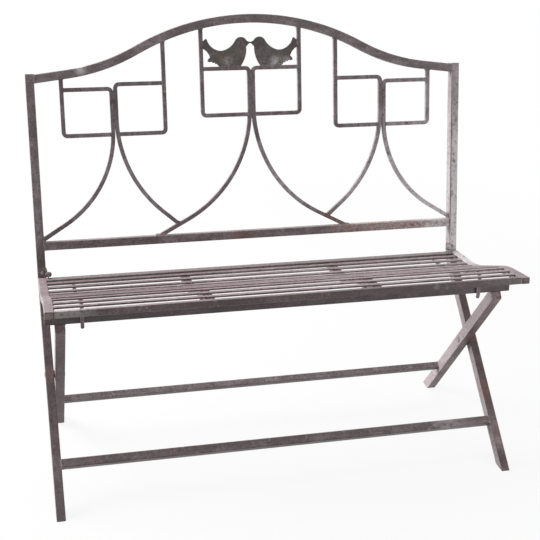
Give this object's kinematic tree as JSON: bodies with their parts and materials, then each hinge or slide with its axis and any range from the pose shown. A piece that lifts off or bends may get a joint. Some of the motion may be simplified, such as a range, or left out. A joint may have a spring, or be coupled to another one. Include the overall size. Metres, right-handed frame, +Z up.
{
  "type": "folding garden bench",
  "caption": "Folding metal garden bench with a contoured slatted seat, crossed legs and an arched back with scrolls and two birds.",
  "frame": {"origin": "middle of the bounding box, on the ground", "axes": "+Z up, -Y out of the front of the seat, +X to the right as seen from the front"},
  "size_m": [1.0624, 0.5553, 0.9884],
  "materials": {
    "frame_steel": "worn matt grey paint with scuffs and rust at the joints",
    "slat_steel": "worn matt grey paint, paler on the rubbed upper faces",
    "pivot_steel": "painted steel gone rusty"
  },
  "bodies": {
    "back_frame": {"arched_top_rail": "frame_steel", "front_stretcher": "frame_steel", "left_bird": "frame_steel", "left_centre_hanger_rod": "frame_steel", "left_centre_scroll_rod": "frame_steel", "left_inner_hanger_rod": "frame_steel", "left_inner_scroll_rod": "frame_steel", "left_outer_hanger_rod": "frame_steel", "left_outer_scroll_rod": "frame_steel", "left_post_ear": "pivot_steel", "left_post_leg": "frame_steel", "leg_pivot_rivets": "pivot_steel", "leg_pivot_washers": "pivot_steel", "lower_back_rail": "frame_steel", "right_bird": "frame_steel", "right_centre_hanger_rod": "frame_steel", "right_centre_scroll_rod": "frame_steel", "right_inner_hanger_rod": "frame_steel", "right_inner_scroll_rod": "frame_steel", "right_outer_hanger_rod": "frame_steel", "right_outer_scroll_rod": "frame_steel", "right_post_ear": "pivot_steel", "right_post_leg": "frame_steel", "seat_pivot_nuts": "pivot_steel", "seat_pivot_studs": "pivot_steel"},
    "seat": {"left_hooked_bearer": "frame_steel", "left_pivot_lug": "pivot_steel", "left_rest_block": "frame_steel", "left_seat_side_bar": "frame_steel", "left_wide_bearer": "frame_steel", "right_hooked_bearer": "frame_steel", "right_pivot_lug": "pivot_steel", "right_rest_block": "frame_steel", "right_seat_side_bar": "frame_steel", "right_wide_bearer": "frame_steel", "seat_front_rail": "frame_steel", "seat_rear_rail": "frame_steel", "seat_slat_01": "slat_steel", "seat_slat_02": "slat_steel", "seat_slat_03": "slat_steel", "seat_slat_04": "slat_steel", "seat_slat_05": "slat_steel", "seat_slat_06": "slat_steel", "seat_slat_07": "slat_steel", "seat_slat_08": "slat_steel", "seat_slat_09": "slat_steel", "seat_slat_10": "slat_steel", "seat_slat_11": "slat_steel", "seat_slat_12": "slat_steel"},
    "rear_legs": {"crossbar": "frame_steel", "left_rear_leg": "frame_steel", "rear_stretcher": "frame_steel", "right_rear_leg": "frame_steel"}
  },
  "joints": [
    {"name": "seat_fold", "type": "hinge", "parent": "back_frame", "child": "seat", "pos_m": [0, 0.13706, 0.4087], "axis": [-1, 0, 0], "range_deg": [0, 82]},
    {"name": "rear_legs_fold", "type": "hinge", "parent": "back_frame", "child": "rear_legs", "pos_m": [0, -0.0162, 0.2236], "axis": [-1, 0, 0], "range_deg": [0, 61.5]}
  ],
  "couplings": [
    {"joint": "rear_legs_fold", "follows": "seat_fold", "ratio": 0.75}
  ]
}
